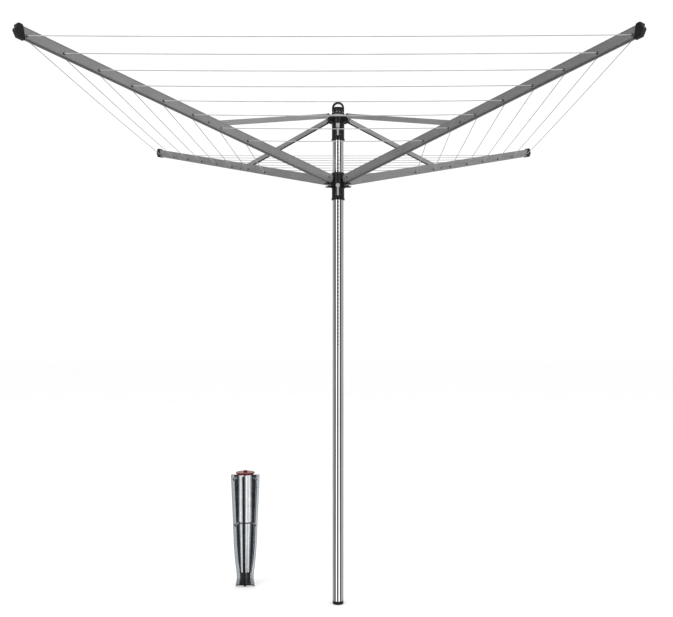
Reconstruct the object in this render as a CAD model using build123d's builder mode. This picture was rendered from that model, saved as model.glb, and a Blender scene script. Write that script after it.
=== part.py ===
"""Rotary clothesline: four line arms that open like an umbrella on a steel mast, and its ground spear.

Frame: millimetres, +Z up, origin at the centre of the mast foot's bottom face. The latch levers face -Y.
The arms stand at 45 degrees to X and Y. Arm and strut share one length between their pivots, so the lower hub
travels straight along the mast while the frame folds.
"""

import os
from math import asin, atan2, cos, degrees, hypot, radians, sin, sqrt, tan

from build123d import *

# ---- general clearances ----
RUN = 0.05  # radial clearance of a pin in the part that turns on it
GAP = 0.3  # clearance between parts that move past each other

# ---- mast ----
MAST_R = 22.5
MAST_WALL = 1.6
MAST_TOP = 1965.0
FOOT_RIM = 14.0  # height of the foot that shows under the tube
FOOT_INSET = 0.5  # the foot is this much smaller in radius than the tube
FOOT_SPIGOT = 56.0
MARK_Z = 190.0  # rolled ring that shows how deep the mast goes into its socket
MARK_H, MARK_DEPTH = 0.8, 0.4
HOLE_R, HOLE_PITCH = 4.0, 15.0
HOLE_FIRST_Z = 1040.0
HOLE_MARGIN = 10.0  # the column of holes ends this far under the upper hub
MAST_BORE = MAST_R - MAST_WALL
HUB_BORE = MAST_R + GAP

# ---- linkage ----
HUB_PIVOT_R = 58.0  # radius of both rings of hub pivots
PIVOT_DROP = 12.0  # strut pivots below the mast's top
STRUT_PIVOT_Z = MAST_TOP - PIVOT_DROP
RIVET_R = 633.0  # where each strut meets its arm
RIVET_FALL = 124.5  # height between a strut's two pivots
RIVET_Z = STRUT_PIVOT_Z - RIVET_FALL
ARM_PIVOT_Z = RIVET_Z - RIVET_FALL  # equal links put the two hubs symmetrically about the rivet
LINK = hypot(RIVET_R - HUB_PIVOT_R, RIVET_FALL)
STRUT_TILT = degrees(atan2(RIVET_FALL, RIVET_R - HUB_PIVOT_R))
RIVET_UNDER = 8.0378  # the rivets run this far under the line along each arm through its hub pivot
ARM_TILT = STRUT_TILT + degrees(asin(RIVET_UNDER / LINK))
ARMS = {"front_left": 225.0, "front_right": 315.0, "back_right": 45.0, "back_left": 135.0}
ARM_PIN_R = 3.0
RIVET_PIN_R = 2.5
PIN_HEAD_R, PIN_HEAD_T, PIN_HEAD_GAP = 4.2, 0.8, 0.1
RIVET_HEAD_R, RIVET_HEAD_T = 4.0, 1.4

# ---- arms ----
ARM_W, ARM_H, ARM_WALL = 17.0, 35.0, 1.4
ARM_TOP = 16.0  # the arm's top edge above its pivot, square to the arm
ARM_BOTTOM = ARM_TOP - ARM_H
ARM_CORNER_R = 2.4
ARM_END = 1287.0  # along the arm from its pivot
ROOT_EXTRA = 3.0
ROOT_R = ROOT_EXTRA - ARM_BOTTOM  # the arm's inner end is rounded about its pivot, past its lower edge
GROOVE_INSET, GROOVE_W, GROOVE_DEPTH = 4.2, 1.6, 0.5  # pressed lines along both edges of each side

# ---- lines ----
LINE_COUNT, LINE_PITCH = 8, 122.0
LINE_INSET = 22.4  # outermost line hole from the arm's end
LINE_DROP = 24.0  # line holes below the arm's top edge
LINE_B = ARM_TOP - LINE_DROP
LINE_R = 1.5
LINE_BEND_R = 5.0  # where a line turns out of its eyelet
EYELET_BORE_R = LINE_R + GAP
EYELET_R, EYELET_FLANGE_R, EYELET_LIP = 3.0, 4.2, 1.0

# ---- struts ----
STRUT_SIDE_GAP = 1.1  # room for a pin's head between the strut and the inside of the folded arm
STRUT_W = ARM_W - 2 * ARM_WALL - 2 * STRUT_SIDE_GAP
STRUT_H, STRUT_WALL = 18.0, 1.5
STRUT_DROP = 4.5  # the channel's middle runs this far below the line between its pivots
STRUT_HUB_R, STRUT_RIVET_R = 7.0, 9.0  # rounded ends about the two pivots
STRUT_NECK = 16.0  # length of the step down to the rivet end
STRUT_CUT_BACK = 10.5  # the top wall stops this far from each pivot

# ---- end caps, from the arm's end ----
CAP_PAST = 17.0  # the tip stands this far past the arm
CAP_SIDE = 2.0  # thickness beside the arm
CAP_TIP = ARM_END + CAP_PAST
CAP_W = ARM_W + 2 * CAP_SIDE
CAP_ABOVE, CAP_BELOW = 4.5, 3.0  # how far the cap stands past the arm's top and bottom edges
CAP_MOUTH_TOP, CAP_MOUTH_BOTTOM = ARM_END - 4.0, ARM_END - 21.0  # slanting inner edge
CAP_NOSE_R = 9.0
CAP_EDGE = 1.3  # bevel round both sides
CAP_CHAMFER = (14.0, 17.0)  # cut from the lower outer corner, along and square to the arm
NOTCH_DEPTH, NOTCH_INSET, NOTCH_H = 3.0, 9.5, 9.0

# ---- hubs ----
LINER_WALL = 0.9
HUB_WALL = 1.5
HUB_R = HUB_BORE + LINER_WALL + HUB_WALL
SLEEVE_R = HUB_R
FLARE_R, FLARE_H = SLEEVE_R + 1.8, 7.0
COLLAR_R, COLLAR_H = HUB_R + 1.0, 13.0
UPPER_HUB_Z = (STRUT_PIVOT_Z - 28.0, STRUT_PIVOT_Z)
UPPER_PLATE_Z = (STRUT_PIVOT_Z, STRUT_PIVOT_Z + 7.0)
UPPER_PLATE_R = HUB_R + 4.8
UPPER_SLEEVE_Z = (UPPER_HUB_Z[0] - 67.0, UPPER_HUB_Z[0])
CRADLE_T = 8.0
CRADLE_BOTTOM = ARM_PIVOT_Z - ROOT_R - CRADLE_T  # the shelf under each arm's root
CRADLE_R = HUB_PIVOT_R + 9.0
LOWER_HUB_Z = (ARM_PIVOT_Z - ROOT_R - 3.0, ARM_PIVOT_Z + 25.0)
LOWER_SLEEVE_Z = (LOWER_HUB_Z[0] - 60.0, LOWER_HUB_Z[0])
LOWER_LUG_H = 16.0
UPPER_LUG_R = 5.8  # round end of each upper lug, about its pivot
UPPER_LUG_FOOT = (HUB_PIVOT_R - 7.0, STRUT_PIVOT_Z - 16.0)  # lowest outer corner, radius and height
TAB_R, TAB_W, TAB_T = HUB_PIVOT_R - 11.0, 8.0, 4.0  # the cover plate's tabs over the lugs

# ---- latch levers ----
LEVER_Y = -(SLEEVE_R + 3.8)
NOSE_ABOVE = 18.0  # latch nose above the lever's pivot
UPPER_NOSE_UP, LOWER_NOSE_UP = 37.0, 36.0  # latch noses above their sleeves' ends, at the nearest hole
LEVER_PIN_R = 1.5
STEM_W, STEM_T = 7.0, 5.0
HEAD_W, HEAD_H, HEAD_TOP = 14.5, 16.5, 46.0
EAR_T = 3.0
NOSE_R = 2.6
NOSE_REACH = MAST_R + GAP  # the nose ends this far from the mast's axis

# ---- mast cap, from the mast's top ----
CAP_FLANGE_Z = (MAST_TOP - 4.0, MAST_TOP + 2.5)
CAP_FLANGE_R = MAST_R + 3.7
CAP_PLATE_Z = (MAST_TOP + 12.0, MAST_TOP + 26.0)
CAP_PLATE_R = MAST_R - 2.5
CAP_SKIRT_H = 7.0
HOOP_R, HOOP_T, HOOP_DEPTH = MAST_R + 1.9, 8.0, 13.0
HOOP_CENTRE_Z = MAST_TOP + 25.0
HOOP_TOP_Z = MAST_TOP + 49.0
HOOP_CROWN_Z = MAST_TOP + 42.0  # top of the opening under the hoop
CORE_R = MAST_R - 6.5
POST_COUNT, POST_W, POST_T = 10, 4.2, 4.0
PLUG_DEPTH = 30.0

# ---- ground spear ----
SPEAR_AT = (-405.0, 246.5)
SPEAR_BORE_R = MAST_R + GAP
SPEAR_LINER_WALL, SPEAR_TUBE_WALL = 2.7, 2.5
SPEAR_TUBE_R = SPEAR_BORE_R + SPEAR_LINER_WALL + SPEAR_TUBE_WALL
SPEAR_TUBE_Z = (62.0, 478.0)
SPEAR_SEAM_Z, SPEAR_STEP = 277.0, 6.0  # the tube steps in below its seam
SPEAR_TAPER_R = (SPEAR_TUBE_R - 3.0, SPEAR_TUBE_R - 9.0)  # outer radius below the seam and at the tube's foot
SPEAR_LINER_FLOOR = 4.0
FIN_T = 3.0
FIN_TOP_R = SPEAR_TUBE_R + 33.0
FIN_OUTLINE = (
    (FIN_TOP_R - 1.0, SPEAR_TUBE_Z[1]),
    (FIN_TOP_R, SPEAR_TUBE_Z[1] - 4.0),
    (53.0, 290.0),
    (48.5, 176.0),
    (43.5, 112.0),
    (36.0, 54.0),
    (35.4, 34.0),
    (40.5, 3.0),
)
FIN_NOTCH_W, FIN_NOTCH_H = 10.0, 7.0
SPEAR_CAP_R, SPEAR_CAP_T = SPEAR_TUBE_R + 12.5, 11.0
SPEAR_PLUG_R, SPEAR_PLUG_H = SPEAR_BORE_R - 0.4, 26.0


def save(part, name):
    part.label = name
    export_step(part, f"parts/{name}.step")


def radial_plane(azimuth):
    """Sketch plane through the mast's axis: x outwards along the azimuth, y up."""
    a = radians(azimuth)
    return Plane(origin=(0, 0, 0), x_dir=(cos(a), sin(a), 0), z_dir=(sin(a), -cos(a), 0))


def link_plane(azimuth, height, tilt):
    """Sketch plane at a hub pivot: x along the link, which rises outwards by tilt, y square to it."""
    a, t = radians(azimuth), radians(tilt)
    origin = (HUB_PIVOT_R * cos(a), HUB_PIVOT_R * sin(a), height)
    along = (cos(t) * cos(a), cos(t) * sin(a), sin(t))
    return Plane(origin=origin, x_dir=along, z_dir=(sin(a), -cos(a), 0))


def arm_plane(azimuth):
    return link_plane(azimuth, ARM_PIVOT_Z, ARM_TILT)


def strut_plane(azimuth):
    return link_plane(azimuth, STRUT_PIVOT_Z, -STRUT_TILT)


def cross_plane(plane, along):
    """Sketch plane square to a link, that far along it: x across the link, y as on the link's own plane."""
    return Plane(origin=plane.from_local_coords((along, 0, 0)), x_dir=-plane.z_dir, z_dir=plane.x_dir)


def rivet_on_arm():
    """The strut rivet in the arm's own coordinates."""
    dr, dz, t = RIVET_R - HUB_PIVOT_R, RIVET_Z - ARM_PIVOT_Z, radians(ARM_TILT)
    return dr * cos(t) + dz * sin(t), -dr * sin(t) + dz * cos(t)


def line_holes():
    """The line holes in the arm's own coordinates, outermost first."""
    return [(ARM_END - LINE_INSET - i * LINE_PITCH, LINE_B) for i in range(LINE_COUNT)]


def hole_near(height):
    """Height of the mast hole nearest to a height."""
    return HOLE_FIRST_Z + HOLE_PITCH * round((height - HOLE_FIRST_Z) / HOLE_PITCH)


# ---- mast ----
def make_foot_plug():
    with BuildPart() as foot_plug:
        with BuildSketch():
            Circle(MAST_R - FOOT_INSET)
        extrude(amount=FOOT_RIM)
        fillet(foot_plug.edges().group_by(Axis.Z)[0], 5)
        with BuildSketch(Plane.XY.offset(FOOT_RIM)):
            Circle(MAST_BORE - RUN)
        extrude(amount=FOOT_SPIGOT)
        with BuildSketch(Plane.XY.offset(FOOT_RIM + FOOT_SPIGOT)):
            Circle(MAST_BORE - 5)
        extrude(amount=-FOOT_SPIGOT + 4, mode=Mode.SUBTRACT)
    return foot_plug.part


def make_mast_tube():
    with BuildPart() as mast_tube:
        with BuildSketch(Plane.XY.offset(FOOT_RIM + GAP)):
            Circle(MAST_R)
            Circle(MAST_BORE, mode=Mode.SUBTRACT)
        extrude(amount=MAST_TOP - FOOT_RIM - GAP)
        with BuildSketch(Plane.XY.offset(MARK_Z)):
            Circle(MAST_R + 1)
            Circle(MAST_R - MARK_DEPTH, mode=Mode.SUBTRACT)
        extrude(amount=MARK_H, mode=Mode.SUBTRACT)
        count = int((UPPER_HUB_Z[0] - HOLE_MARGIN - HOLE_FIRST_Z) / HOLE_PITCH) + 1
        with BuildSketch(Plane.XZ):
            with Locations([(0, HOLE_FIRST_Z + i * HOLE_PITCH) for i in range(count)]):
                Circle(HOLE_R)
        extrude(amount=MAST_R + 1, mode=Mode.SUBTRACT)
    return mast_tube.part


def hoop_arch(half_width, foot, crown):
    """Outline of an arch that stands on the cap's plate."""
    left, right = (-half_width, HOOP_CENTRE_Z), (half_width, HOOP_CENTRE_Z)
    Polyline(left, (-half_width, foot), (half_width, foot), right)
    ThreePointArc(right, (0, crown), left)


def make_mast_cap():
    """Flange on the mast's top, a ring of posts, a plate and the carrying hoop over it."""
    flange_low, flange_high = CAP_FLANGE_Z
    plate_low, plate_high = CAP_PLATE_Z
    with BuildPart() as mast_cap:
        with BuildSketch(Plane.XY.offset(flange_low)):
            Circle(CAP_FLANGE_R)
        extrude(amount=flange_high - flange_low)
        with BuildSketch(Plane.XY.offset(flange_high)):
            with PolarLocations(HOOP_R - POST_T / 2, POST_COUNT, start_angle=90):
                Rectangle(POST_T, POST_W)
        extrude(amount=plate_low - flange_high)
        with BuildSketch(Plane.XY.offset(plate_low)):
            Circle(HOOP_R)
        extrude(amount=CAP_SKIRT_H)
        with BuildSketch(Plane.XZ):
            with BuildLine():
                hoop_arch(HOOP_R, plate_low, HOOP_TOP_Z)
            make_face()
            with BuildLine():
                hoop_arch(HOOP_R - HOOP_T, plate_low, HOOP_CROWN_Z)
            make_face(mode=Mode.SUBTRACT)
        extrude(amount=HOOP_DEPTH / 2, both=True)
        with BuildSketch(Plane.XY.offset(plate_low)):
            Circle(CAP_PLATE_R)
        extrude(amount=plate_high - plate_low)
        with BuildSketch(Plane.XY.offset(flange_low)):
            Circle(MAST_R)
        extrude(amount=MAST_TOP - flange_low, mode=Mode.SUBTRACT)
        with BuildSketch(Plane.XY.offset(MAST_TOP)):
            Circle(MAST_BORE - RUN)
        extrude(amount=-PLUG_DEPTH)
        with BuildSketch(Plane.XY.offset(MAST_TOP - PLUG_DEPTH)):
            Circle(MAST_BORE - 4)
        extrude(amount=PLUG_DEPTH - 2, mode=Mode.SUBTRACT)
    return mast_cap.part


def make_cap_core():
    """Pale core that shows between the cap's posts."""
    low, high = CAP_FLANGE_Z[1], CAP_PLATE_Z[0]
    with BuildPart() as cap_core:
        with BuildSketch(Plane.XY.offset(low)):
            Circle(CORE_R)
        extrude(amount=high - low)
    return cap_core.part


# ---- hubs ----
def make_upper_hub():
    low, high = UPPER_HUB_Z
    with BuildPart() as upper_hub:
        with BuildSketch(Plane.XY.offset(low)):
            Circle(HUB_R)
        extrude(amount=high - low)
        for azimuth in ARMS.values():
            with BuildSketch(radial_plane(azimuth)):
                with BuildLine():
                    Polyline(
                        (MAST_R, low + 3),
                        (UPPER_LUG_FOOT[0] - 9, UPPER_LUG_FOOT[1] - 5),
                        UPPER_LUG_FOOT,
                        (HUB_PIVOT_R + UPPER_LUG_R - 1, STRUT_PIVOT_Z - 3),
                        (HUB_PIVOT_R, STRUT_PIVOT_Z),
                        (TAB_R + 1, high - 1),
                        (MAST_R, high - 1),
                        (MAST_R, low + 3),
                    )
                make_face()
                with Locations((HUB_PIVOT_R, STRUT_PIVOT_Z)):
                    Circle(UPPER_LUG_R)
            extrude(amount=STRUT_W / 2 - STRUT_WALL - GAP, both=True)
            with BuildSketch(radial_plane(azimuth)):
                with Locations((HUB_PIVOT_R, STRUT_PIVOT_Z)):
                    Circle(ARM_PIN_R)
            extrude(amount=ARM_W, both=True, mode=Mode.SUBTRACT)
        with BuildSketch(Plane.XY.offset(low)):
            Circle(HUB_BORE + LINER_WALL)
        extrude(amount=high - low, mode=Mode.SUBTRACT)
    return upper_hub.part


def make_liner(zone):
    low, high = zone
    with BuildPart() as liner:
        with BuildSketch(Plane.XY.offset(low)):
            Circle(HUB_BORE + LINER_WALL)
            Circle(HUB_BORE, mode=Mode.SUBTRACT)
        extrude(amount=high - low)
    return liner.part


def make_upper_plate():
    low, high = UPPER_PLATE_Z
    with BuildPart() as upper_plate:
        with BuildSketch(Plane.XY.offset(low)):
            Circle(UPPER_PLATE_R)
        extrude(amount=high - low)
        fillet(upper_plate.edges().group_by(Axis.Z)[-1], 2)
        for azimuth in ARMS.values():
            with BuildSketch(radial_plane(azimuth)):
                with Locations(((UPPER_PLATE_R + TAB_R) / 2 - 2, low + TAB_T / 2)):
                    Rectangle(TAB_R - UPPER_PLATE_R + 4, TAB_T)
            extrude(amount=TAB_W / 2, both=True)
        with BuildSketch(Plane.XY.offset(low)):
            Circle(HUB_BORE)
        extrude(amount=high - low, mode=Mode.SUBTRACT)
    return upper_plate.part


def make_lower_hub():
    low, high = LOWER_HUB_Z
    with BuildPart() as lower_hub:
        with BuildSketch(Plane.XY.offset(low)):
            Circle(HUB_R)
        extrude(amount=high - low)
        with BuildSketch(Plane.XY.offset(high - COLLAR_H)):
            Circle(COLLAR_R)
        extrude(amount=COLLAR_H)
        fillet(lower_hub.edges().group_by(Axis.Z)[-1], 2)
        for azimuth in ARMS.values():
            plane = radial_plane(azimuth)
            with BuildSketch(plane):
                with Locations(((MAST_R + HUB_PIVOT_R) / 2, ARM_PIVOT_Z)):
                    Rectangle(HUB_PIVOT_R - MAST_R, LOWER_LUG_H)
                with Locations((HUB_PIVOT_R, ARM_PIVOT_Z)):
                    Circle(LOWER_LUG_H / 2)
            extrude(amount=ARM_W / 2 - ARM_WALL - GAP, both=True)
            with BuildSketch(plane):
                with BuildLine():
                    Polyline(
                        (MAST_R, CRADLE_BOTTOM - 8),
                        (HUB_R + 14, CRADLE_BOTTOM),
                        (CRADLE_R, CRADLE_BOTTOM + 3),
                        (CRADLE_R, ARM_PIVOT_Z - ROOT_R),
                        (MAST_R, ARM_PIVOT_Z - LOWER_LUG_H / 2 - 1),
                        (MAST_R, CRADLE_BOTTOM - 8),
                    )
                make_face()
                with Locations((HUB_PIVOT_R, ARM_PIVOT_Z)):
                    Circle(ROOT_R + 2 * GAP, mode=Mode.SUBTRACT)
            extrude(amount=ARM_W / 2 - 1, both=True)
            with BuildSketch(plane):
                with Locations((HUB_PIVOT_R, ARM_PIVOT_Z)):
                    Circle(ARM_PIN_R)
            extrude(amount=ARM_W, both=True, mode=Mode.SUBTRACT)
        with BuildSketch(Plane.XY.offset(CRADLE_BOTTOM - 10)):
            Circle(HUB_BORE + LINER_WALL)
        extrude(amount=high - CRADLE_BOTTOM + 10, mode=Mode.SUBTRACT)
        # the latch sleeve's own space below the hub
        with BuildSketch(Plane.XY.offset(LOWER_SLEEVE_Z[0])):
            Circle(SLEEVE_R)
        extrude(amount=low - LOWER_SLEEVE_Z[0], mode=Mode.SUBTRACT)
    return lower_hub.part


def make_pins(height, half_length):
    """One hub's four pivot pins, headed at both ends."""
    with BuildPart() as pins:
        for azimuth in ARMS.values():
            plane = radial_plane(azimuth)
            with BuildSketch(plane):
                with Locations((HUB_PIVOT_R, height)):
                    Circle(ARM_PIN_R)
            extrude(amount=half_length + PIN_HEAD_GAP, both=True)
            for side in (-1, 1):
                with BuildSketch(plane.offset(side * (half_length + PIN_HEAD_GAP))):
                    with Locations((HUB_PIVOT_R, height)):
                        Circle(PIN_HEAD_R)
                extrude(amount=side * PIN_HEAD_T)
    return pins.part


# ---- latch sleeves and levers ----
def make_sleeve(zone, nose_z):
    low, high = zone
    pivot_z = nose_z - NOSE_ABOVE
    ear_out = -LEVER_Y + STEM_T / 2 + 1
    with BuildPart() as sleeve:
        with BuildSketch(Plane.XY.offset(low)):
            Circle(SLEEVE_R)
        extrude(amount=high - low)
        with BuildSketch(Plane.XY.offset(low)):
            Circle(FLARE_R)
        extrude(amount=FLARE_H)
        chamfer(sleeve.edges().group_by(Axis.Z)[0], 1)
        ear_x = STEM_W / 2 + GAP + EAR_T / 2
        with BuildSketch(Plane.XY.offset(pivot_z - 4)):
            with Locations((ear_x, -ear_out / 2 - 10), (-ear_x, -ear_out / 2 - 10)):
                Rectangle(EAR_T, ear_out - 20)
        extrude(amount=8)
        with BuildSketch(Plane.YZ):
            with Locations((LEVER_Y, pivot_z)):
                Circle(LEVER_PIN_R)
        extrude(amount=2 * HEAD_W, both=True, mode=Mode.SUBTRACT)
        with BuildSketch(Plane.XY.offset(low)):
            Circle(HUB_BORE)
        extrude(amount=high - low, mode=Mode.SUBTRACT)
        with BuildSketch(Plane.XZ):
            with Locations((0, nose_z)):
                SlotOverall(NOSE_R * 2 + 9, NOSE_R * 2 + 3, rotation=90)
        extrude(amount=2 * SLEEVE_R, mode=Mode.SUBTRACT)
    return sleeve.part


def make_lever(nose_z, round_head):
    """Stem on a cross pin, a grip head above and a nose that locks in a mast hole."""
    pivot_z = nose_z - NOSE_ABOVE
    head_z = pivot_z + HEAD_TOP - HEAD_H / 2
    front = -LEVER_Y + STEM_T / 2
    with BuildPart() as lever:
        with BuildSketch(Plane.YZ):
            with Locations((LEVER_Y, pivot_z + (HEAD_TOP - 4) / 2)):
                Rectangle(STEM_T, HEAD_TOP - 4)
            with Locations((LEVER_Y, pivot_z)):
                Circle(STEM_T / 2)
        extrude(amount=STEM_W / 2, both=True)
        with BuildSketch(Plane.XZ.offset(front - STEM_T)):
            with Locations((0, head_z)):
                if round_head:
                    Circle(HEAD_H / 2)
                else:
                    RectangleRounded(HEAD_W, HEAD_H, 2.5)
        extrude(amount=STEM_T + 3)
        fillet(lever.faces().sort_by(Axis.Y)[0].edges(), 2)
        with BuildSketch(Plane.XZ.offset(NOSE_REACH)):
            with Locations((0, nose_z)):
                Circle(NOSE_R)
        extrude(amount=-LEVER_Y - NOSE_REACH)
        with BuildSketch(Plane.YZ):
            with Locations((LEVER_Y, pivot_z)):
                Circle(LEVER_PIN_R + RUN)
        extrude(amount=HEAD_W, both=True, mode=Mode.SUBTRACT)
    return lever.part


def make_lever_pin(nose_z):
    with BuildPart() as pin:
        with BuildSketch(Plane.YZ):
            with Locations((LEVER_Y, nose_z - NOSE_ABOVE)):
                Circle(LEVER_PIN_R)
        extrude(amount=STEM_W / 2 + GAP + EAR_T, both=True)
    return pin.part


def make_lever_spring(nose_z):
    """Torsion coils on the pin's two outer ends."""
    pivot_z = nose_z - NOSE_ABOVE
    start = STEM_W / 2 + GAP + EAR_T
    wire = 0.5
    with BuildPart() as spring:
        for side in (-1, 1):
            for turn in range(3):
                x = side * (start + wire + 2 * wire * turn)
                with BuildSketch(Plane.XY.offset(pivot_z)):
                    with Locations((x, LEVER_Y - LEVER_PIN_R - wire - RUN)):
                        Circle(wire - 0.02)
                revolve(axis=Axis((0, LEVER_Y, pivot_z), (1, 0, 0)))
        with BuildSketch(Plane.YZ):
            with Locations((LEVER_Y, pivot_z)):
                Circle(LEVER_PIN_R)
        extrude(amount=start + 6 * wire, both=True, mode=Mode.SUBTRACT)
    return spring.part


# ---- struts ----
def make_strut(azimuth):
    """Inverted channel that forks over its hub lug and over the rivet in the arm."""
    plane = strut_plane(azimuth)
    top, bottom = STRUT_H / 2 - STRUT_DROP, -STRUT_H / 2 - STRUT_DROP
    with BuildPart() as strut:
        with BuildSketch(plane):
            with BuildLine():
                Polyline(
                    (0, top),
                    (LINK - 2 * STRUT_NECK, top),
                    (LINK - STRUT_NECK / 2, STRUT_RIVET_R - 1),
                    (LINK, STRUT_RIVET_R - 1),
                    (LINK, 1 - STRUT_RIVET_R),
                    (LINK - STRUT_NECK / 2, 1 - STRUT_RIVET_R),
                    (LINK - STRUT_NECK, bottom),
                    (STRUT_HUB_R, bottom),
                    (-STRUT_HUB_R / 2, bottom / 2),
                    (0, top),
                )
            make_face()
            with Locations((0, 0)):
                Circle(STRUT_HUB_R)
            with Locations((LINK, 0)):
                Circle(STRUT_RIVET_R)
        extrude(amount=STRUT_W / 2, both=True)
        with BuildSketch(plane):
            with Locations((LINK / 2, -STRUT_DROP - STRUT_WALL)):
                Rectangle(2 * LINK, STRUT_H)
            with Locations((0, 0), (LINK, 0)):
                Rectangle(2 * STRUT_CUT_BACK, 3 * STRUT_H)
        extrude(amount=STRUT_W / 2 - STRUT_WALL, both=True, mode=Mode.SUBTRACT)
        with BuildSketch(plane):
            with Locations((0, 0)):
                Circle(ARM_PIN_R + RUN)
            with Locations((LINK, 0)):
                Circle(RIVET_PIN_R + RUN)
        extrude(amount=STRUT_W, both=True, mode=Mode.SUBTRACT)
    return strut.part


# ---- arms ----
def make_arm(azimuth):
    plane = arm_plane(azimuth)
    middle = (ARM_TOP + ARM_BOTTOM) / 2
    with BuildPart() as arm:
        with BuildSketch(cross_plane(plane, -ROOT_R)):
            with Locations((0, middle)):
                outer = Rectangle(ARM_W, ARM_H)
            fillet(outer.vertices().group_by(Axis.Y)[0], ARM_CORNER_R)
            with Locations((0, middle + ARM_WALL)):
                Rectangle(ARM_W - 2 * ARM_WALL, ARM_H, mode=Mode.SUBTRACT)
            for groove in (ARM_TOP - GROOVE_INSET, ARM_BOTTOM + GROOVE_INSET):
                with Locations((-ARM_W / 2, groove), (ARM_W / 2, groove)):
                    Rectangle(2 * GROOVE_DEPTH, GROOVE_W, mode=Mode.SUBTRACT)
        extrude(amount=ROOT_R + ARM_END)
        with BuildSketch(plane):
            with Locations((-ROOT_R, 0)):
                Rectangle(2 * ROOT_R, 3 * ROOT_R)
            Circle(ROOT_R, mode=Mode.SUBTRACT)
        extrude(amount=ARM_W, both=True, mode=Mode.SUBTRACT)
        with BuildSketch(plane):
            with Locations(line_holes()):
                Circle(EYELET_R)
            with Locations((0, 0)):
                Circle(ARM_PIN_R + RUN)
            with Locations(rivet_on_arm()):
                Circle(RIVET_PIN_R)
        extrude(amount=ARM_W, both=True, mode=Mode.SUBTRACT)
    return arm.part


def make_rivet(azimuth):
    """The rivet that the strut turns on."""
    plane = arm_plane(azimuth)
    with BuildPart() as rivet:
        with BuildSketch(plane):
            with Locations(rivet_on_arm()):
                Circle(RIVET_PIN_R)
        extrude(amount=ARM_W / 2, both=True)
        for side in (-1, 1):
            with BuildSketch(plane.offset(side * ARM_W / 2)):
                with Locations(rivet_on_arm()):
                    Circle(RIVET_HEAD_R)
            extrude(amount=side * RIVET_HEAD_T)
    return rivet.part


def make_eyelets(azimuth):
    plane = arm_plane(azimuth)
    with BuildPart() as eyelets:
        for side in (-1, 1):
            with BuildSketch(plane.offset(side * ARM_W / 2)):
                with Locations(line_holes()):
                    Circle(EYELET_R)
            extrude(amount=-side * ARM_WALL)
            with BuildSketch(plane.offset(side * ARM_W / 2)):
                with Locations(line_holes()):
                    Circle(EYELET_FLANGE_R)
            extrude(amount=side * EYELET_LIP)
        with BuildSketch(plane):
            with Locations(line_holes()):
                Circle(EYELET_BORE_R)
        extrude(amount=ARM_W, both=True, mode=Mode.SUBTRACT)
    return eyelets.part


def make_end_cap(azimuth):
    """Closed tip with a rounded nose, a shallow hooking notch in its outer face and a cut lower corner."""
    plane = arm_plane(azimuth)
    top, bottom = ARM_TOP + CAP_ABOVE, ARM_BOTTOM - CAP_BELOW
    notch_top = top - NOTCH_INSET
    notch_low = notch_top - NOTCH_H
    chamfer_along, chamfer_up = CAP_CHAMFER
    with BuildPart() as end_cap:
        with BuildSketch(plane):
            with BuildLine():
                Polyline((CAP_MOUTH_BOTTOM, bottom + 2), (CAP_MOUTH_TOP, top - 2), (CAP_MOUTH_TOP + 3, top))
                Line((CAP_MOUTH_TOP + 3, top), (CAP_TIP - CAP_NOSE_R - 1, top))
                RadiusArc((CAP_TIP - CAP_NOSE_R - 1, top), (CAP_TIP - 1, notch_top), CAP_NOSE_R + 0.5)
                ThreePointArc(
                    (CAP_TIP - 1, notch_top),
                    (CAP_TIP - NOTCH_DEPTH, (notch_top + notch_low) / 2),
                    (CAP_TIP, notch_low),
                )
                Polyline(
                    (CAP_TIP, notch_low),
                    (CAP_TIP, bottom + chamfer_up),
                    (CAP_TIP - chamfer_along, bottom),
                    (CAP_MOUTH_BOTTOM + 2, bottom),
                    (CAP_MOUTH_BOTTOM, bottom + 2),
                )
            make_face()
        extrude(amount=CAP_W / 2, both=True)
        side_faces = end_cap.faces().filter_by(Axis((0, 0, 0), tuple(plane.z_dir)))
        chamfer(side_faces.edges(), CAP_EDGE)
        with BuildSketch(cross_plane(plane, CAP_MOUTH_BOTTOM - 5)):
            with Locations((0, (ARM_TOP + ARM_BOTTOM) / 2)):
                Rectangle(ARM_W, ARM_H)
        extrude(amount=ARM_END + 5 - CAP_MOUTH_BOTTOM, mode=Mode.SUBTRACT)
    return end_cap.part


def make_lines(azimuth):
    """The half of each line on both sides of one arm, from inside its eyelet to the middle of the span."""
    t = radians(ARM_TILT)
    a = radians(azimuth)
    outwards, sideways = Vector(cos(a), sin(a), 0), Vector(-sin(a), cos(a), 0)
    leave = ARM_W / 2 + EYELET_LIP + LINE_BEND_R * tan(radians(22.5)) + 0.5
    with BuildPart() as lines:
        for along, square in line_holes():
            radius = HUB_PIVOT_R + along * cos(t) - square * sin(t)
            height = ARM_PIVOT_Z + along * sin(t) + square * cos(t)
            hole = outwards * radius + Vector(0, 0, height)
            for side in (-1, 1):
                corner = hole + sideways * (side * leave)
                half = (radius - leave) / sqrt(2) - GAP / 2
                middle = corner + (sideways * side - outwards) * (half / sqrt(2))
                start = hole + sideways * (side * (ARM_W / 2 - ARM_WALL + 0.1))
                with BuildLine() as route:
                    FilletPolyline(start, corner, middle, radius=LINE_BEND_R)
                with BuildSketch(Plane(origin=start, z_dir=sideways * side)):
                    Circle(LINE_R)
                sweep(path=route.line)
    return lines.part


# ---- ground spear ----
def spear_profile(inset, high):
    """Half outline of the tube's outside, set in by inset: straight socket, step and tapered foot."""
    low = SPEAR_TUBE_Z[0]
    Polyline(
        (0, low + inset),
        (SPEAR_TAPER_R[1] - inset, low + inset),
        (SPEAR_TAPER_R[0] - inset, SPEAR_SEAM_Z - SPEAR_STEP + inset),
        (SPEAR_TUBE_R - inset, SPEAR_SEAM_Z + inset),
        (SPEAR_TUBE_R - inset, high),
        (0, high),
        (0, low + inset),
    )


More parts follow.
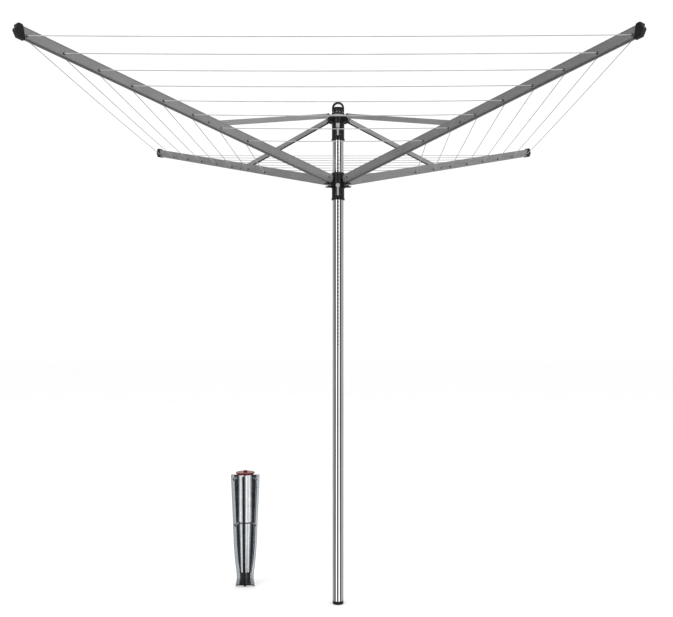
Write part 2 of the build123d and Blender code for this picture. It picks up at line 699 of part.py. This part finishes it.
def make_spear_tube():
    high = SPEAR_TUBE_Z[1]
    x, y = SPEAR_AT
    upright = Plane(origin=(x, y, 0), x_dir=(1, 0, 0), z_dir=(0, -1, 0))
    with BuildPart() as spear_tube:
        with BuildSketch(upright):
            with BuildLine():
                spear_profile(0, high)
            make_face()
        revolve(axis=Axis((x, y, 0), (0, 0, 1)))
        with BuildSketch(upright):
            with BuildLine():
                spear_profile(SPEAR_TUBE_WALL, high + 1)
            make_face()
        revolve(axis=Axis((x, y, 0), (0, 0, 1)), mode=Mode.SUBTRACT)
    return spear_tube.part


def make_spear_fins():
    """Four fins in a cross, welded to the tube and narrowing to a flared, notched blade."""
    x, y = SPEAR_AT
    high = SPEAR_TUBE_Z[1]
    outline = [(0, high), *FIN_OUTLINE, (37, 0), (FIN_NOTCH_W, 0), (0, FIN_NOTCH_H)]
    with BuildPart() as spear_fins:
        for turn in range(4):
            a = radians(90 * turn)
            plane = Plane(origin=(x, y, 0), x_dir=(cos(a), sin(a), 0), z_dir=(sin(a), -cos(a), 0))
            with BuildSketch(plane):
                with BuildLine():
                    Polyline(*outline, close=True)
                make_face()
            extrude(amount=FIN_T / 2, both=True)
        with BuildSketch(Plane(origin=(x, y, 0), x_dir=(1, 0, 0), z_dir=(0, -1, 0))):
            with BuildLine():
                spear_profile(0, high + 1)
            make_face()
        revolve(axis=Axis((x, y, 0), (0, 0, 1)), mode=Mode.SUBTRACT)
    return spear_fins.part


def make_spear_liner():
    """Cup that lines the socket."""
    low, high = SPEAR_SEAM_Z + SPEAR_STEP + SPEAR_TUBE_WALL, SPEAR_TUBE_Z[1]
    x, y = SPEAR_AT
    with BuildPart() as spear_liner:
        with BuildSketch(Plane(origin=(x, y, low))):
            Circle(SPEAR_TUBE_R - SPEAR_TUBE_WALL)
        extrude(amount=high - low)
        with BuildSketch(Plane(origin=(x, y, low + SPEAR_LINER_FLOOR))):
            Circle(SPEAR_BORE_R)
        extrude(amount=high - low, mode=Mode.SUBTRACT)
    return spear_liner.part


def make_spear_cap():
    x, y = SPEAR_AT
    seat = SPEAR_TUBE_Z[1] + GAP
    with BuildPart() as spear_cap:
        with BuildSketch(Plane(origin=(x, y, seat))):
            Circle(SPEAR_CAP_R - 8)
        with BuildSketch(Plane(origin=(x, y, seat + 6))):
            Circle(SPEAR_CAP_R)
        loft()
        with BuildSketch(Plane(origin=(x, y, seat + 6))):
            Circle(SPEAR_CAP_R)
        extrude(amount=SPEAR_CAP_T - 6)
        fillet(spear_cap.edges().group_by(Axis.Z)[-1], 3)
        with BuildSketch(Plane(origin=(x, y, seat + SPEAR_CAP_T))):
            Circle(9)
        extrude(amount=7)
        fillet(spear_cap.edges().group_by(Axis.Z)[-1], 3)
        with BuildSketch(Plane(origin=(x, y, seat))):
            Circle(SPEAR_PLUG_R)
            Circle(SPEAR_PLUG_R - 2.5, mode=Mode.SUBTRACT)
        extrude(amount=-SPEAR_PLUG_H)
    return spear_cap.part


os.makedirs("parts", exist_ok=True)

save(make_foot_plug(), "foot_plug")
save(make_mast_tube(), "mast_tube")
save(make_mast_cap(), "mast_cap")
save(make_cap_core(), "mast_cap_core")

save(make_upper_hub(), "upper_hub")
save(make_liner(UPPER_HUB_Z), "upper_hub_liner")
save(make_upper_plate(), "upper_hub_plate")
save(make_pins(STRUT_PIVOT_Z, STRUT_W / 2), "strut_pins")
save(make_lower_hub(), "lower_hub")
save(make_liner(LOWER_HUB_Z), "lower_hub_liner")
save(make_pins(ARM_PIVOT_Z, ARM_W / 2), "arm_pins")

for place, zone, nose_up, round_head in (
    ("upper", UPPER_SLEEVE_Z, UPPER_NOSE_UP, False),
    ("lower", LOWER_SLEEVE_Z, LOWER_NOSE_UP, True),
):
    nose_z = hole_near(zone[0] + nose_up)
    save(make_sleeve(zone, nose_z), f"{place}_latch_sleeve")
    save(make_lever(nose_z, round_head), f"{place}_latch_lever")
    save(make_lever_pin(nose_z), f"{place}_lever_pin")
    save(make_lever_spring(nose_z), f"{place}_lever_spring")

for place, azimuth in ARMS.items():
    save(make_strut(azimuth), f"strut_{place}")
    save(make_arm(azimuth), f"arm_{place}")
    save(make_rivet(azimuth), f"rivet_{place}")
    save(make_eyelets(azimuth), f"eyelets_{place}")
    save(make_end_cap(azimuth), f"end_cap_{place}")
    save(make_lines(azimuth), f"lines_{place}")

save(make_spear_tube(), "spear_tube")
save(make_spear_fins(), "spear_fins")
save(make_spear_liner(), "spear_liner")
save(make_spear_cap(), "spear_cap")

print("arm and strut length between pivots", round(LINK, 4))
print("strut tilt", round(STRUT_TILT, 6), "arm pivot height", ARM_PIVOT_Z)
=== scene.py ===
"""Rotary clothesline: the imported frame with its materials, lines, light and camera."""
import math
import bmesh
import bpy
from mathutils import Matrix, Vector


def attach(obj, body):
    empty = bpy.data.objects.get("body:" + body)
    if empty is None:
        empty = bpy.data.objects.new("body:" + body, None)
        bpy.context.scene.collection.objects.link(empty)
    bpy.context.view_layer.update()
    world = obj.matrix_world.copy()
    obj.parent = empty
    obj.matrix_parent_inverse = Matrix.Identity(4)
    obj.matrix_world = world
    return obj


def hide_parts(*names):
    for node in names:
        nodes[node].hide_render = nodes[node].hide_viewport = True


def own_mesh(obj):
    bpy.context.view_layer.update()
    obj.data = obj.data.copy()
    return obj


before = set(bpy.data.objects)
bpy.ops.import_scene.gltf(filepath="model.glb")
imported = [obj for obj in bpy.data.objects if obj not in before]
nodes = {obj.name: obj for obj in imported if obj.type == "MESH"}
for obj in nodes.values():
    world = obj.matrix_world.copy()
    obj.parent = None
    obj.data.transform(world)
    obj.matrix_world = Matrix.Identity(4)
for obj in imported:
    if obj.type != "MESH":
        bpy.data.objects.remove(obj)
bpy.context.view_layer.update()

# ---- the frame's own sizes, in metres, as in the CAD ----
AZIMUTH = {"front_left": 225.0, "front_right": 315.0, "back_right": 45.0, "back_left": 135.0}
HUB_PIVOT_R = 0.058
ARM_PIVOT_Z = 1.704
ARM_TILT = math.radians(13.0)
STRUT_TILT = math.radians(-12.2172)
ARM_W, ARM_WALL = 0.017, 0.0014
LINE_FIRST, LINE_PITCH, LINE_COUNT, LINE_B = 1.2646, 0.122, 8, -0.008
LINE_R = 0.0015
LEAVE = 0.0121  # how far from the arm's middle a line turns out of its eyelet

# ---- camera ----
camera_data = bpy.data.cameras.new("camera")
camera = bpy.data.objects.new("camera", camera_data)
bpy.context.scene.collection.objects.link(camera)
camera.location = (0.1059, -3.6123, 1.0964)
camera.rotation_euler = (math.radians(90.25), 0.0, math.radians(0.24))
camera_data.sensor_width = 36.0
camera_data.lens = 48.1
camera_data.shift_x = -0.0359
camera_data.shift_y = 0.0266
bpy.context.scene.camera = camera


# ---- material helpers ----
class Nodes:
    """A material's node tree with its shader, object coordinates and short calls to add nodes."""

    def __init__(self, name, metallic=0.0, roughness=0.4, specular=0.5):
        self.material = bpy.data.materials.new(name)
        self.material.use_nodes = True
        self.tree = self.material.node_tree
        self.shader = self.tree.nodes["Principled BSDF"]
        self.shader.inputs["Metallic"].default_value = metallic
        self.shader.inputs["Roughness"].default_value = roughness
        self.shader.inputs["Specular IOR Level"].default_value = specular
        self.coords = self.add("ShaderNodeTexCoord").outputs["Object"]

    def add(self, kind, **values):
        node = self.tree.nodes.new(kind)
        for key, value in values.items():
            setattr(node, key, value)
        return node

    def link(self, source, target):
        self.tree.links.new(source, target)

    def stretched(self, size, turn=(0.0, 0.0, 0.0)):
        """Coordinates turned into a part's own directions and divided by size along each."""
        mapping = self.add("ShaderNodeMapping", vector_type="TEXTURE")
        mapping.inputs["Rotation"].default_value = turn
        mapping.inputs["Scale"].default_value = size
        self.link(self.coords, mapping.inputs["Vector"])
        return mapping.outputs["Vector"]

    def noise(self, vector, scale, detail=3.0, rough=0.55):
        node = self.add("ShaderNodeTexNoise")
        node.inputs["Scale"].default_value = scale
        node.inputs["Detail"].default_value = detail
        node.inputs["Roughness"].default_value = rough
        self.link(vector, node.inputs["Vector"])
        return node.outputs["Fac"]

    def ramp(self, value, stops):
        node = self.add("ShaderNodeValToRGB")
        elements = node.color_ramp.elements
        while len(elements) < len(stops):
            elements.new(0.5)
        for element, (at, colour) in zip(elements, stops):
            element.position = at
            element.color = (*colour, 1.0)
        self.link(value, node.inputs["Fac"])
        return node.outputs["Color"]

    def spread(self, value, low, high, start=0.3, end=0.7):
        node = self.add("ShaderNodeMapRange")
        node.inputs["From Min"].default_value = start
        node.inputs["From Max"].default_value = end
        node.inputs["To Min"].default_value = low
        node.inputs["To Max"].default_value = high
        self.link(value, node.inputs["Value"])
        return node.outputs["Result"]

    def bump(self, height, strength, distance=0.001):
        node = self.add("ShaderNodeBump")
        node.inputs["Strength"].default_value = strength
        node.inputs["Distance"].default_value = distance
        self.link(height, node.inputs["Height"])
        if self.shader.inputs["Normal"].links:
            self.link(self.shader.inputs["Normal"].links[0].from_socket, node.inputs["Normal"])
        self.link(node.outputs["Normal"], self.shader.inputs["Normal"])


def grey(level, blue=0.0):
    return (level, level + blue * 0.5, level + blue)


def drawn_metal(name, tone, roughness, turn=(0.0, 0.0, 0.0), long_axis=0, contrast=0.08, grain=0.12):
    """Metal with fine drawing lines along one direction and a faint cloudy tarnish."""
    m = Nodes(name, metallic=1.0, roughness=roughness)
    size = [0.0016, 0.0016, 0.0016]
    size[long_axis] = 0.25
    lines = m.noise(m.stretched(size, turn), 1.0, 4.0)
    cloud = m.noise(m.coords, 9.0, 4.0)
    low, high = tone * (1 - contrast), tone * (1 + contrast)
    tint = m.ramp(cloud, [(0.3, grey(low)), (0.7, grey(high))])
    streak = m.ramp(lines, [(0.25, grey(1 - contrast)), (0.75, grey(1.0))])
    mix = m.add("ShaderNodeMix", data_type="RGBA", blend_type="MULTIPLY")
    mix.inputs["Factor"].default_value = 1.0
    m.link(tint, mix.inputs["A"])
    m.link(streak, mix.inputs["B"])
    m.link(mix.outputs["Result"], m.shader.inputs["Base Color"])
    m.link(m.spread(lines, roughness * 0.75, roughness * 1.3), m.shader.inputs["Roughness"])
    m.bump(lines, grain, 0.0004)
    return m.material


def moulded(name, dark, light, roughness, specular=0.5, grain=0.25):
    """Moulded plastic: faint mottling, fine spark grain and slightly uneven gloss."""
    m = Nodes(name, roughness=roughness, specular=specular)
    fine = m.noise(m.coords, 1600.0, 2.0)
    wide = m.noise(m.coords, 45.0, 4.0)
    m.link(m.ramp(wide, [(0.3, dark), (0.7, light)]), m.shader.inputs["Base Color"])
    m.link(m.spread(wide, roughness * 0.8, roughness * 1.25), m.shader.inputs["Roughness"])
    m.bump(fine, grain, 0.0003)
    return m.material


def galvanised(name, tone, blue):
    """Hot-dip zinc: flat spangle crystals of uneven brightness under a soft cloudy film."""
    m = Nodes(name, metallic=1.0, roughness=0.3)
    cells = m.add("ShaderNodeTexVoronoi")
    cells.inputs["Scale"].default_value = 140.0
    m.link(m.coords, cells.inputs["Vector"])
    parts = m.add("ShaderNodeSeparateColor")
    m.link(cells.outputs["Color"], parts.inputs["Color"])
    crystal = parts.outputs["Red"]
    cloud = m.noise(m.coords, 30.0, 5.0)
    mixed = m.add("ShaderNodeMath", operation="MULTIPLY_ADD")
    m.link(crystal, mixed.inputs[0])
    mixed.inputs[1].default_value = 0.2
    m.link(cloud, mixed.inputs[2])
    stops = [(0.35, grey(tone * 0.8, blue)), (0.95, grey(tone * 1.15, blue))]
    m.link(m.ramp(mixed.outputs["Value"], stops), m.shader.inputs["Base Color"])
    m.link(m.spread(mixed.outputs["Value"], 0.14, 0.26, 0.3, 1.0), m.shader.inputs["Roughness"])
    m.bump(crystal, 0.03, 0.0002)
    return m.material


def turned(place, tilt):
    return (0.0, -tilt, math.radians(AZIMUTH[place]))


black = moulded("black_plastic", grey(0.007), grey(0.014), 0.3, 0.3, 0.15)
hub_black = moulded("hub_plastic", grey(0.006), grey(0.012), 0.24, 0.35, 0.1)
pale_plastic = moulded("grey_plastic", grey(0.3, 0.01), grey(0.37, 0.01), 0.4)
red_plastic = moulded("red_plastic", (0.1, 0.005, 0.006), (0.15, 0.009, 0.011), 0.33)
mast_steel = drawn_metal("mast_steel", 0.9, 0.05, long_axis=2, contrast=0.04, grain=0.04)
rivet_steel = drawn_metal("rivet_steel", 0.28, 0.35, contrast=0.1)
spring_steel = drawn_metal("spring_steel", 0.5, 0.3)
spear_steel = galvanised("spear_steel", 0.62, 0.03)
fin_steel = galvanised("fin_steel", 0.27, 0.035)


def dress(node, material):
    mesh = nodes[node].data
    if mesh.materials:
        for i in range(len(mesh.materials)):
            mesh.materials[i] = material
    else:
        mesh.materials.append(material)


for name in ("foot_plug", "spear_liner", "mast_cap"):
    dress(name, black)
for level in ("upper", "lower"):
    for part in ("hub", "hub_liner", "latch_sleeve"):
        dress(f"{level}_{part}", hub_black)
for name in ("upper_hub_plate", "mast_cap_core", "upper_latch_lever", "lower_latch_lever"):
    dress(name, pale_plastic)
for name in ("strut_pins", "arm_pins", "upper_lever_pin", "lower_lever_pin"):
    dress(name, rivet_steel)
for name in ("upper_lever_spring", "lower_lever_spring"):
    dress(name, spring_steel)
dress("spear_tube", spear_steel)
dress("spear_fins", fin_steel)
dress("spear_cap", red_plastic)
dress("mast_tube", mast_steel)
for place in AZIMUTH:
    dress(f"arm_{place}", drawn_metal(f"arm_metal_{place}", 0.62, 0.34, turned(place, ARM_TILT)))
    dress(f"strut_{place}", drawn_metal(f"strut_metal_{place}", 0.72, 0.3, turned(place, STRUT_TILT)))
    dress(f"rivet_{place}", rivet_steel)
    dress(f"eyelets_{place}", black)
    dress(f"end_cap_{place}", black)


# ---- lines ----
def line_material():
    """Sheathed cord: pale plastic with a fine slanting lay showing through it."""
    m = Nodes("line_plastic", roughness=0.45)
    wave = m.add("ShaderNodeTexWave", wave_type="BANDS", bands_direction="DIAGONAL")
    wave.inputs["Scale"].default_value = 260.0
    wave.inputs["Distortion"].default_value = 1.5
    m.link(m.coords, wave.inputs["Vector"])
    cloud = m.noise(m.coords, 12.0)
    m.link(m.ramp(cloud, [(0.3, grey(0.3)), (0.7, grey(0.42))]), m.shader.inputs["Base Color"])
    m.bump(wave.outputs["Fac"], 0.3, 0.0003)
    return m.material


line_plastic = line_material()


def tube(mesh, points, radius, sides=8):
    """Adds a round tube along the points to a bmesh."""
    rings = []
    for i, p in enumerate(points):
        ahead = points[min(i + 1, len(points) - 1)] - points[max(i - 1, 0)]
        ahead.normalize()
        side = ahead.cross(Vector((0, 0, 1))).normalized()
        up = side.cross(ahead)
        ring = []
        for k in range(sides):
            a = 2 * math.pi * k / sides
            ring.append(mesh.verts.new(p + side * (radius * math.cos(a)) + up * (radius * math.sin(a))))
        rings.append(ring)
    for a, b in zip(rings, rings[1:]):
        for k in range(sides):
            mesh.faces.new((a[k], a[(k + 1) % sides], b[(k + 1) % sides], b[k]))
    mesh.faces.new(list(reversed(rings[0])))
    mesh.faces.new(rings[-1])


def piece(name, mesh, body, material, smooth=True):
    data = bpy.data.meshes.new(name)
    bmesh.ops.recalc_face_normals(mesh, faces=mesh.faces)
    mesh.to_mesh(data)
    mesh.free()
    if smooth:
        data.polygons.foreach_set("use_smooth", [True] * len(data.polygons))
    obj = bpy.data.objects.new(name, data)
    bpy.context.scene.collection.objects.link(obj)
    data.materials.append(material)
    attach(obj, body)
    return obj


SAG = 0.004  # dip of the middle of each span
LONG_HALF = 0.5  # half spans longer than this dip fully
MIDDLE_GAP = 0.00015  # each half stops this far before the middle of its span
INSIDE_WALL = 0.0002  # a line starts this far outside the wall's inner face
BEND_REACH = 0.002  # the bend out of the eyelet begins and ends this far from its corner
BEND_STEPS = 5
SPAN_STEPS = 14
for place, azimuth in AZIMUTH.items():
    a = math.radians(azimuth)
    outwards = Vector((math.cos(a), math.sin(a), 0))
    sideways = Vector((-math.sin(a), math.cos(a), 0))
    along_arm = outwards * math.cos(ARM_TILT) + Vector((0, 0, math.sin(ARM_TILT)))
    root = outwards * HUB_PIVOT_R + Vector((0, 0, ARM_PIVOT_Z))
    square_up = Vector((0, 0, math.cos(ARM_TILT))) - outwards * math.sin(ARM_TILT)
    for hand, side in (("a", -1), ("b", 1)):
        mesh = bmesh.new()
        run = (sideways * side - outwards).normalized()
        for i in range(LINE_COUNT):
            hole = root + along_arm * (LINE_FIRST - i * LINE_PITCH) + square_up * LINE_B
            radius = hole.xy.length
            half = (radius - LEAVE) / math.sqrt(2) - MIDDLE_GAP
            corner = hole + sideways * (side * LEAVE)
            start = hole + sideways * (side * (ARM_W / 2 - ARM_WALL + INSIDE_WALL))
            straight = corner - sideways * (side * BEND_REACH)
            turn_end = corner + run * BEND_REACH
            points = [start, straight]
            for k in range(1, BEND_STEPS):
                t = k / BEND_STEPS
                points.append((1 - t) ** 2 * straight + 2 * t * (1 - t) * corner + t**2 * turn_end)
            dip = SAG * min(1.0, half / LONG_HALF)
            for k in range(SPAN_STEPS + 1):
                t = k / SPAN_STEPS
                at = corner + run * (BEND_REACH + (half - BEND_REACH) * t)
                at.z -= dip * (1 - (1 - t) ** 2)
                points.append(at)
            tube(mesh, points, LINE_R)
        strand = piece(f"line_half_spans_{place}_{hand}", mesh, f"arm_{place}", line_plastic)
        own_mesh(strand)
    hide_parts(f"lines_{place}")


# ---- ground spear's fins: folded plates with a swollen rim, pressed dimples and a flared blade ----
SPEAR_X, SPEAR_Y = -0.405, 0.2465
FIN_TOP, FIN_FOOT = 0.478, 0.003
UPPER_EDGE = [(0.112, 0.0435), (0.176, 0.0485), (0.29, 0.053), (0.474, 0.061), (0.478, 0.06)]
BLADE_EDGE = [(0.003, 0.0405), (0.034, 0.0354), (0.054, 0.036)] + UPPER_EDGE
FIN_EDGE = [(0.003, 0.015), (0.054, 0.026)] + UPPER_EDGE
TUBE_OUTSIDE = [(0.062, 0.018), (0.27, 0.024), (0.277, 0.027), (0.478, 0.027)]
TUBE_FOOT = 0.062
PLATE_HALF, RIM_HALF = 0.0015, 0.0055  # half thickness of the plate and of its rim
RIM_WIDTH = 0.013
NOTCH_REACH, NOTCH_RISE = 0.005, 0.007
DIMPLES = [(0.013, 0.458, 0.005), (0.022, 0.463, 0.004), (0.011, 0.262, 0.005), (0.02, 0.268, 0.004)]
DIMPLE_DEPTH = 0.0028
FIN_ROWS, FIN_COLUMNS = 120, 16


def along_table(table, at):
    """The table's second value at a place between its first values."""
    if at <= table[0][0]:
        return table[0][1]
    for (a, low), (b, high) in zip(table, table[1:]):
        if at <= b:
            return low + (high - low) * (at - a) / (b - a)
    return table[-1][1]


def fin_half(reach, radius, height):
    """Half thickness of a fin at a radius, with its rim at reach."""
    from_rim = reach - radius
    swell = max(0.0, 1.0 - from_rim / RIM_WIDTH)
    half = PLATE_HALF + (RIM_HALF - PLATE_HALF) * swell ** 0.8
    for inwards, level, spread in DIMPLES:
        away = ((from_rim - inwards) ** 2 + (height - level) ** 2) / spread**2
        half += DIMPLE_DEPTH * math.exp(-2.5 * away)
    return half


def add_fin(mesh, turn, edge):
    out = Vector((math.cos(turn), math.sin(turn), 0))
    side = Vector((-math.sin(turn), math.cos(turn), 0))
    centre = Vector((SPEAR_X, SPEAR_Y, 0))
    heights = [FIN_FOOT + (FIN_TOP - FIN_FOOT) * i / FIN_ROWS for i in range(FIN_ROWS + 1)]
    heights += [TUBE_FOOT - 0.0001, TUBE_FOOT + 0.0001]
    grid = []
    for height in sorted(heights):
        reach = along_table(edge, height)
        start = along_table(TUBE_OUTSIDE, height) if height > TUBE_FOOT else 0.0
        row = []
        for hand in (1, -1):
            for k in range(FIN_COLUMNS + 1):
                share = k / FIN_COLUMNS if hand > 0 else 1 - k / FIN_COLUMNS
                radius = start + (reach - start) * share
                rise = max(0.0, NOTCH_RISE * (1 - radius / NOTCH_REACH)) if height == FIN_FOOT else 0.0
                half = fin_half(reach, radius, height)
                at = centre + out * radius + side * (hand * half)
                at.z = height + rise
                row.append(mesh.verts.new(at))
        grid.append(row)
    count = len(grid[0])
    for low, high in zip(grid, grid[1:]):
        for k in range(count):
            n = (k + 1) % count
            face = mesh.faces.new((low[k], low[n], high[n], high[k]))
            face.smooth = k not in (FIN_COLUMNS, count - 1)
    for row in (grid[0], grid[-1]):
        for k in range(FIN_COLUMNS):
            mesh.faces.new((row[k], row[k + 1], row[count - 2 - k], row[count - 1 - k]))


mesh = bmesh.new()
for quarter in range(4):
    add_fin(mesh, math.radians(90 * quarter), BLADE_EDGE if quarter % 2 == 0 else FIN_EDGE)
fins = piece("spear_folded_fins", mesh, "spear", fin_steel, smooth=False)
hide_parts("spear_fins")


# ---- floor and light ----
def floor_material():
    m = Nodes("floor", roughness=0.9, specular=0.1)
    tone = m.ramp(m.noise(m.coords, 3.0), [(0.3, grey(0.93)), (0.7, grey(0.95))])
    m.link(tone, m.shader.inputs["Base Color"])
    return m.material


FLOOR_HALF = 30.0
mesh = bmesh.new()
corners = [(-1, -1), (1, -1), (1, 1), (-1, 1)]
mesh.faces.new([mesh.verts.new((x * FLOOR_HALF, y * FLOOR_HALF, 0.0)) for x, y in corners])
floor_data = bpy.data.meshes.new("floor")
mesh.to_mesh(floor_data)
mesh.free()
floor_data.materials.append(floor_material())
floor = bpy.data.objects.new("floor", floor_data)
bpy.context.scene.collection.objects.link(floor)
floor.visible_glossy = False

world = bpy.data.worlds.new("studio")
bpy.context.scene.world = world
world.use_nodes = True
tree = world.node_tree
background = tree.nodes["Background"]
direction = tree.nodes.new("ShaderNodeTexCoord").outputs["Generated"]
round_mast = tree.nodes.new("ShaderNodeTexGradient")
round_mast.gradient_type = "RADIAL"
tree.links.new(direction, round_mast.inputs["Vector"])
bands = tree.nodes.new("ShaderNodeValToRGB")
SOFT_LEVEL = 1.06  # even light that everything but a reflection sees
OVERHEAD_LEVEL, DARK_BENEATH = 0.9, 0.06
HORIZON_DARKENS, FLOOR_DARK = -0.3, -0.45  # heights of direction between which reflections go dark
# bright panels and dark flags that only reflections see, as parts of a turn from -X through -Y
PANELS = [
    (0.0, 0.32), (0.045, 0.28), (0.06, 0.0), (0.124, 0.0), (0.134, 1.8), (0.178, 1.8), (0.19, 0.05),
    (0.235, 0.06), (0.25, 0.16), (0.285, 0.25), (0.298, 1.6), (0.347, 1.6), (0.36, 0.0), (0.41, 0.0),
    (0.425, 0.38), (0.5, 0.42), (0.62, 0.45), (0.72, 0.95), (0.78, 0.95), (0.88, 0.45), (1.0, 0.32),
]
elements = bands.color_ramp.elements
while len(elements) < len(PANELS):
    elements.new(0.5)
for element, (at, level) in zip(elements, PANELS):
    element.position = at
    element.color = (level, level, level, 1.0)
tree.links.new(round_mast.outputs["Fac"], bands.inputs["Fac"])
height = tree.nodes.new("ShaderNodeSeparateXYZ")
tree.links.new(direction, height.inputs["Vector"])
steep = tree.nodes.new("ShaderNodeMapRange")
steep.inputs["From Min"].default_value = 0.35
steep.inputs["From Max"].default_value = 0.75
tree.links.new(height.outputs["Z"], steep.inputs["Value"])
overhead = tree.nodes.new("ShaderNodeMix")
overhead.data_type = "RGBA"
tree.links.new(steep.outputs["Result"], overhead.inputs["Factor"])
tree.links.new(bands.outputs["Color"], overhead.inputs["A"])
overhead.inputs["B"].default_value = (*grey(OVERHEAD_LEVEL), 1.0)
below = tree.nodes.new("ShaderNodeMapRange")
below.inputs["From Min"].default_value = HORIZON_DARKENS
below.inputs["From Max"].default_value = FLOOR_DARK
tree.links.new(height.outputs["Z"], below.inputs["Value"])
beneath = tree.nodes.new("ShaderNodeMix")
beneath.data_type = "RGBA"
tree.links.new(below.outputs["Result"], beneath.inputs["Factor"])
tree.links.new(overhead.outputs["Result"], beneath.inputs["A"])
beneath.inputs["B"].default_value = (*grey(DARK_BENEATH), 1.0)
path = tree.nodes.new("ShaderNodeLightPath")
seen = tree.nodes.new("ShaderNodeMix")
seen.data_type = "RGBA"
tree.links.new(path.outputs["Is Glossy Ray"], seen.inputs["Factor"])
seen.inputs["A"].default_value = (*grey(SOFT_LEVEL), 1.0)
tree.links.new(beneath.outputs["Result"], seen.inputs["B"])
tree.links.new(seen.outputs["Result"], background.inputs["Color"])
background.inputs["Strength"].default_value = 1.0


SIDE_OFF, SIDE_BACK, SIDE_HEIGHT = 1.2, 0.3, 0.35  # the spear's side panels, from the spear
SIDE_LENGTH, SIDE_TALL, SIDE_POWER = 4.2, 1.4, 18.0


def area_light(name, place, target, size, power):
    data = bpy.data.lights.new(name, "AREA")
    data.shape = "RECTANGLE"
    data.size, data.size_y = size
    data.energy = power
    obj = bpy.data.objects.new(name, data)
    obj.location = place
    obj.rotation_euler = (Vector(target) - Vector(place)).to_track_quat("-Z", "Y").to_euler()
    obj.visible_glossy = False
    bpy.context.scene.collection.objects.link(obj)
    return obj


area_light("key", (-2.6, -3.2, 4.2), (0, 0, 1.4), (2.4, 2.4), 60)
area_light("fill", (3.4, -2.0, 3.0), (0, 0, 1.4), (2.0, 2.6), 45)

# two tall side panels that only the spear sees
spear_only = bpy.data.collections.new("lit_by_side_panels")
for obj in (nodes["spear_tube"], fins):
    spear_only.objects.link(obj)
aim = (SPEAR_X, SPEAR_Y + SIDE_BACK, SIDE_HEIGHT)
for hand in (-1, 1):
    place = (aim[0] + hand * SIDE_OFF, aim[1], aim[2])
    panel = area_light(f"spear_side_{hand + 1}", place, aim, (SIDE_LENGTH, SIDE_TALL), SIDE_POWER)
    panel.visible_glossy = True
    panel.visible_camera = False
    panel.light_linking.receiver_collection = spear_only
bpy.context.scene.view_settings.view_transform = "Standard"
